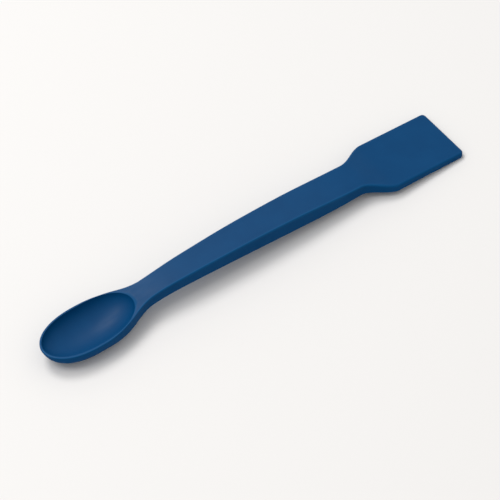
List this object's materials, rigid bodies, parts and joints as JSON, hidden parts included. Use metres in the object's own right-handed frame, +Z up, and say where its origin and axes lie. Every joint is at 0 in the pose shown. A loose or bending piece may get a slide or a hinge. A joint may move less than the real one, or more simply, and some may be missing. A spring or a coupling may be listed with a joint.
{
  "type": "spoon spatula",
  "caption": "One-piece moulded plastic hand tool with an oval spoon at one end, a flat square-ended blade at the other and an arched grip between them.",
  "frame": {"origin": "on the table, under the middle of the tool's length and width, as it lies on the bottom of its spoon and on its blade's lower edge", "axes": "+X along the tool from the spoon's tip to the blade's edge, +Y across the tool, +Z up out of the spoon's hollow"},
  "size_m": [0.178, 0.0242, 0.0118],
  "materials": {
    "plastic": "deep blue moulded plastic, matte with a soft sheen"
  },
  "bodies": {
    "root": {"spoon_bowl": "plastic", "neck": "plastic", "handle": "plastic", "shoulder": "plastic", "blade": "plastic"}
  },
  "joints": []
}
